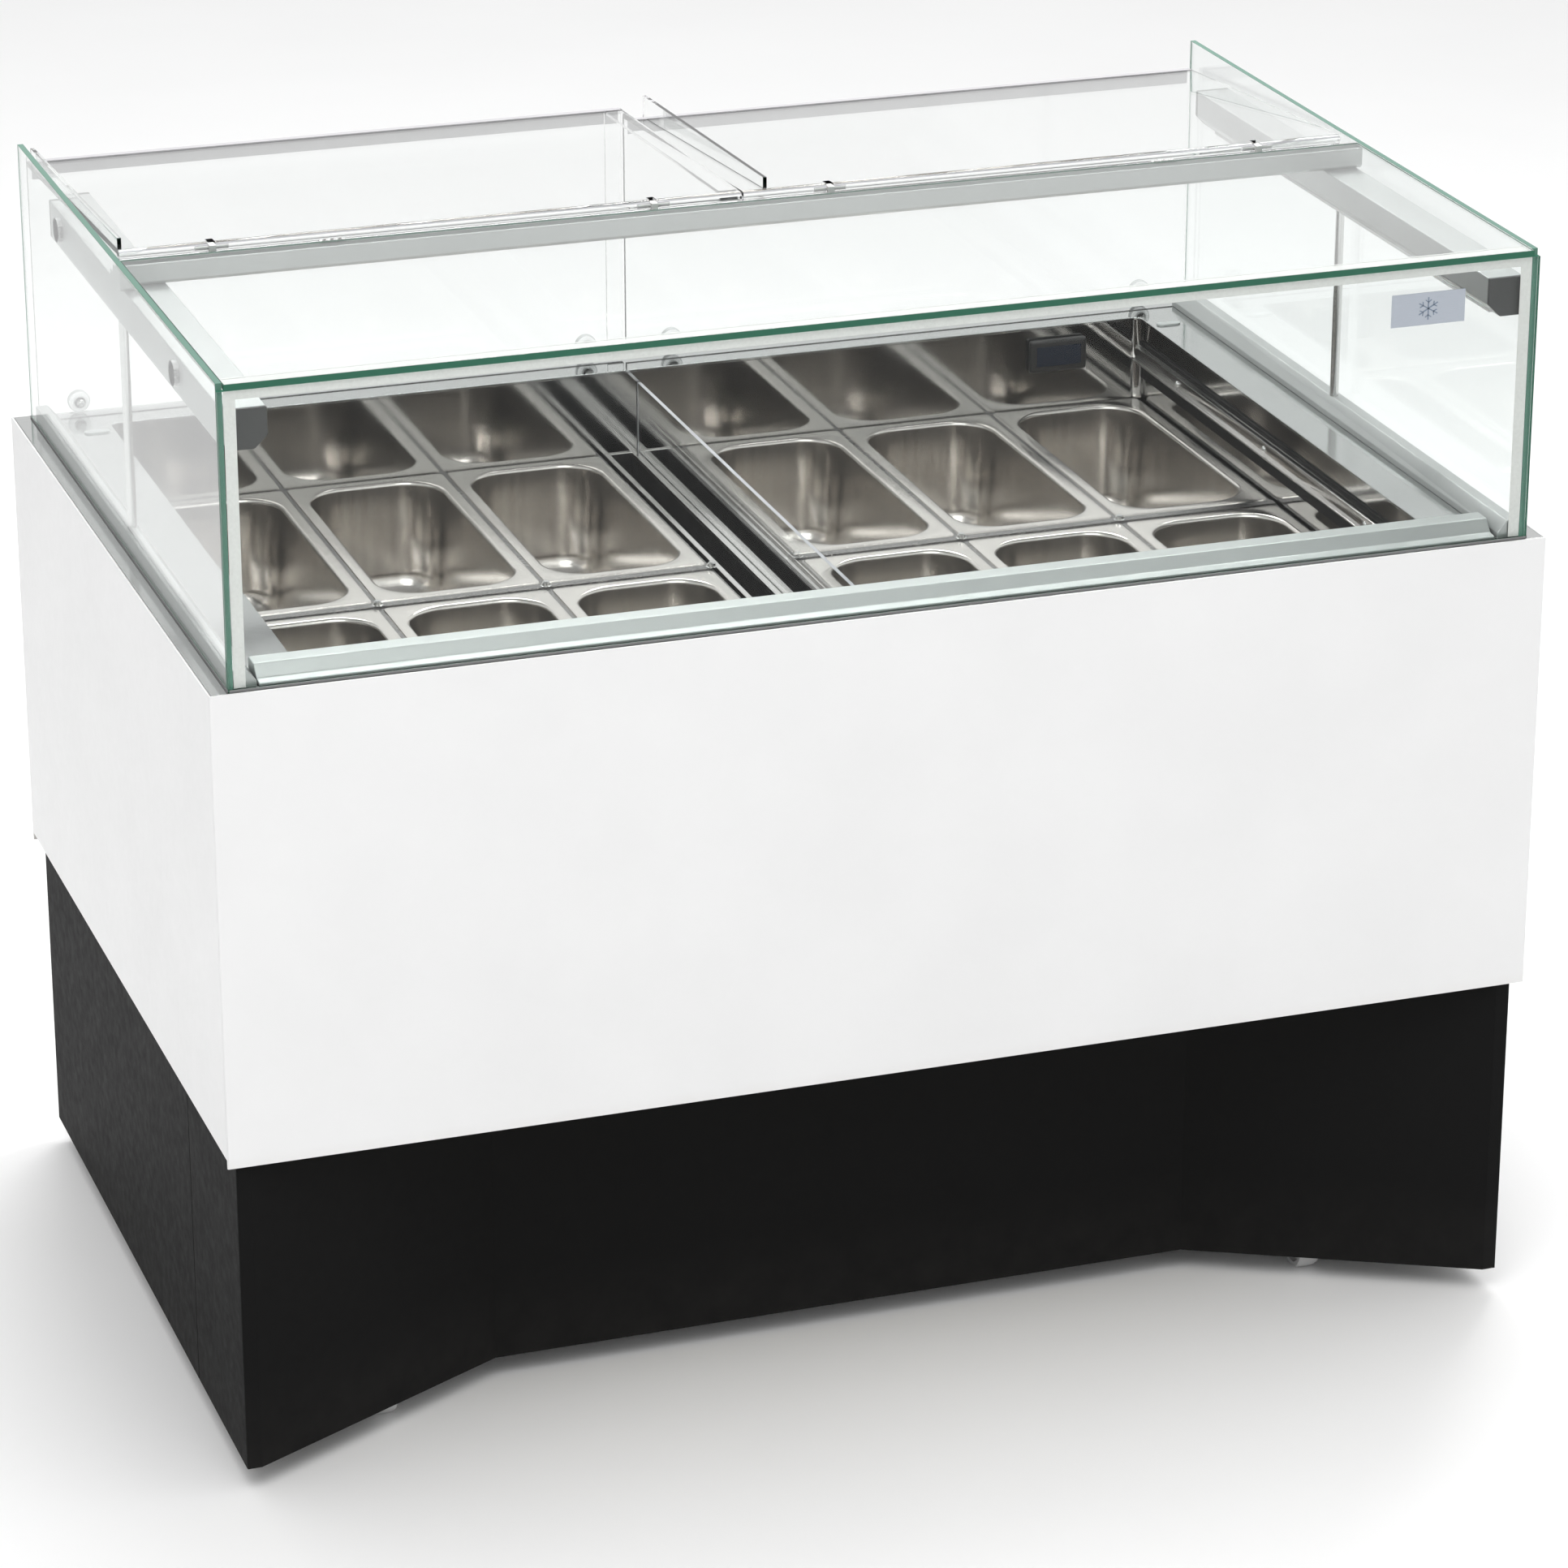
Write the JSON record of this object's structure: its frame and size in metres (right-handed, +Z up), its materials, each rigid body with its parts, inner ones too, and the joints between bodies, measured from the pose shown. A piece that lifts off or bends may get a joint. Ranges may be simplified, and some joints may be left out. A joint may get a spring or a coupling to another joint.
{
  "type": "ice cream dipping cabinet",
  "caption": "Wheeled dipping cabinet: an insulated well of lift-out ice cream pans under a glass canopy, with flip-up clear rear covers and a black plinth.",
  "frame": {"origin": "centre of the footprint, on the floor", "axes": "+X to the customer's right, -Y is the customer side, +Y the operator side, +Z up"},
  "size_m": [1.32, 0.85, 1.111],
  "materials": {
    "white_paint": "satin white powder coat",
    "worktop_steel": "polished stainless steel",
    "black_paint": "satin black powder coat",
    "frame_paint": "black enamel",
    "stainless": "polished stainless steel",
    "pan_steel": "satin stainless steel",
    "anodised_aluminium": "satin anodised",
    "bright_steel": "bright zinc or chrome",
    "canopy_glass": "clear float glass, green edges",
    "clear_acrylic": "clear cast acrylic",
    "grey_plastic": "moulded grey",
    "led_lens": "opal lens",
    "foam": "polyurethane foam",
    "black_plastic": "moulded black",
    "compressor_enamel": "black enamel",
    "fin_aluminium": "mill finish",
    "wheel_rubber": "grey non-marking rubber"
  },
  "bodies": {
    "cabinet": {"beam_end_caps": "grey_plastic", "cable_gland": "black_plastic", "canopy_beams": "anodised_aluminium", "canopy_posts": "bright_steel", "castor_plates": "bright_steel", "centre_divider": "stainless", "chassis_frame": "frame_paint", "compressor": "compressor_enamel", "condenser": "fin_aluminium", "control_panel": "black_plastic", "cover_hinges": "bright_steel", "cross_bar": "anodised_aluminium", "divider_plate": "clear_acrylic", "evaporator": "fin_aluminium", "fan_motor": "compressor_enamel", "foam_insulation": "foam", "front_glass": "canopy_glass", "front_kerb": "anodised_aluminium", "front_panel": "white_paint", "glass_base_rails": "anodised_aluminium", "glass_fixing_discs": "clear_acrylic", "inner_liner": "stainless", "led_strips": "led_lens", "pan_rack": "stainless", "plinth_front": "black_paint", "plinth_rear_grille": "black_paint", "plinth_side_left": "black_paint", "plinth_side_right": "black_paint", "rear_panel": "white_paint", "side_glass_left": "canopy_glass", "side_glass_right": "canopy_glass", "side_panels": "white_paint", "top_glass": "canopy_glass", "worktop": "worktop_steel"},
    "left_cover": {"left_cover": "clear_acrylic", "left_cover_knobs": "clear_acrylic"},
    "right_cover": {"right_cover": "clear_acrylic", "right_cover_knobs": "clear_acrylic"},
    "condenser_fan": {"fan_blade": "black_plastic"},
    "power_switch": {"power_switch": "black_plastic"},
    "castor_front_left": {"castor_fork_front_left": "bright_steel"},
    "wheel_front_left": {"castor_wheel_front_left": "wheel_rubber"},
    "castor_front_right": {"castor_fork_front_right": "bright_steel"},
    "wheel_front_right": {"castor_wheel_front_right": "wheel_rubber"},
    "castor_rear_left": {"castor_fork_rear_left": "bright_steel"},
    "wheel_rear_left": {"castor_wheel_rear_left": "wheel_rubber"},
    "castor_rear_right": {"castor_fork_rear_right": "bright_steel"},
    "wheel_rear_right": {"castor_wheel_rear_right": "wheel_rubber"},
    "pan_front_1": {"pan_front_1": "pan_steel"},
    "pan_front_2": {"pan_front_2": "pan_steel"},
    "pan_front_3": {"pan_front_3": "pan_steel"},
    "pan_front_4": {"pan_front_4": "pan_steel"},
    "pan_front_5": {"pan_front_5": "pan_steel"},
    "pan_front_6": {"pan_front_6": "pan_steel"},
    "pan_rear_1": {"pan_rear_1": "pan_steel"},
    "pan_rear_2": {"pan_rear_2": "pan_steel"},
    "pan_rear_3": {"pan_rear_3": "pan_steel"},
    "pan_rear_4": {"pan_rear_4": "pan_steel"},
    "pan_rear_5": {"pan_rear_5": "pan_steel"},
    "pan_rear_6": {"pan_rear_6": "pan_steel"}
  },
  "joints": [
    {"name": "left_cover_hinge", "type": "hinge", "parent": "cabinet", "child": "left_cover", "pos_m": [-0.319, 0.018, 1.095], "axis": [1, 0, 0], "range_deg": [0, 110]},
    {"name": "right_cover_hinge", "type": "hinge", "parent": "cabinet", "child": "right_cover", "pos_m": [0.311, 0.018, 1.095], "axis": [1, 0, 0], "range_deg": [0, 110]},
    {"name": "condenser_fan_spin", "type": "hinge", "parent": "cabinet", "child": "condenser_fan", "pos_m": [-0.23, 0.285, 0.218], "axis": [0, 1, 0], "continuous": true},
    {"name": "power_switch_rock", "type": "hinge", "parent": "cabinet", "child": "power_switch", "pos_m": [0.53, 0.41, 0.296], "axis": [1, 0, 0], "range_deg": [-16, 0]},
    {"name": "castor_swivel_front_left", "type": "hinge", "parent": "cabinet", "child": "castor_front_left", "pos_m": [-0.488, -0.274, 0.06], "axis": [0, 0, 1], "continuous": true},
    {"name": "wheel_spin_front_left", "type": "hinge", "parent": "castor_front_left", "child": "wheel_front_left", "pos_m": [-0.488, -0.296, 0.025], "axis": [1, 0, 0], "continuous": true},
    {"name": "castor_swivel_front_right", "type": "hinge", "parent": "cabinet", "child": "castor_front_right", "pos_m": [0.488, -0.274, 0.06], "axis": [0, 0, 1], "continuous": true},
    {"name": "wheel_spin_front_right", "type": "hinge", "parent": "castor_front_right", "child": "wheel_front_right", "pos_m": [0.488, -0.296, 0.025], "axis": [1, 0, 0], "continuous": true},
    {"name": "castor_swivel_rear_left", "type": "hinge", "parent": "cabinet", "child": "castor_rear_left", "pos_m": [-0.488, 0.33, 0.06], "axis": [0, 0, 1], "continuous": true},
    {"name": "wheel_spin_rear_left", "type": "hinge", "parent": "castor_rear_left", "child": "wheel_rear_left", "pos_m": [-0.488, 0.352, 0.025], "axis": [1, 0, 0], "continuous": true},
    {"name": "castor_swivel_rear_right", "type": "hinge", "parent": "cabinet", "child": "castor_rear_right", "pos_m": [0.488, 0.33, 0.06], "axis": [0, 0, 1], "continuous": true},
    {"name": "wheel_spin_rear_right", "type": "hinge", "parent": "castor_rear_right", "child": "wheel_rear_right", "pos_m": [0.488, 0.352, 0.025], "axis": [1, 0, 0], "continuous": true},
    {"name": "pan_front_1_lift", "type": "slide", "parent": "cabinet", "child": "pan_front_1", "axis": [0, 0, 1], "range_m": [0, 0.15]},
    {"name": "pan_front_2_lift", "type": "slide", "parent": "cabinet", "child": "pan_front_2", "axis": [0, 0, 1], "range_m": [0, 0.15]},
    {"name": "pan_front_3_lift", "type": "slide", "parent": "cabinet", "child": "pan_front_3", "axis": [0, 0, 1], "range_m": [0, 0.15]},
    {"name": "pan_front_4_lift", "type": "slide", "parent": "cabinet", "child": "pan_front_4", "axis": [0, 0, 1], "range_m": [0, 0.15]},
    {"name": "pan_front_5_lift", "type": "slide", "parent": "cabinet", "child": "pan_front_5", "axis": [0, 0, 1], "range_m": [0, 0.15]},
    {"name": "pan_front_6_lift", "type": "slide", "parent": "cabinet", "child": "pan_front_6", "axis": [0, 0, 1], "range_m": [0, 0.15]},
    {"name": "pan_rear_1_lift", "type": "slide", "parent": "cabinet", "child": "pan_rear_1", "axis": [0, 0, 1], "range_m": [0, 0.15]},
    {"name": "pan_rear_2_lift", "type": "slide", "parent": "cabinet", "child": "pan_rear_2", "axis": [0, 0, 1], "range_m": [0, 0.15]},
    {"name": "pan_rear_3_lift", "type": "slide", "parent": "cabinet", "child": "pan_rear_3", "axis": [0, 0, 1], "range_m": [0, 0.15]},
    {"name": "pan_rear_4_lift", "type": "slide", "parent": "cabinet", "child": "pan_rear_4", "axis": [0, 0, 1], "range_m": [0, 0.15]},
    {"name": "pan_rear_5_lift", "type": "slide", "parent": "cabinet", "child": "pan_rear_5", "axis": [0, 0, 1], "range_m": [0, 0.15]},
    {"name": "pan_rear_6_lift", "type": "slide", "parent": "cabinet", "child": "pan_rear_6", "axis": [0, 0, 1], "range_m": [0, 0.15]}
  ]
}
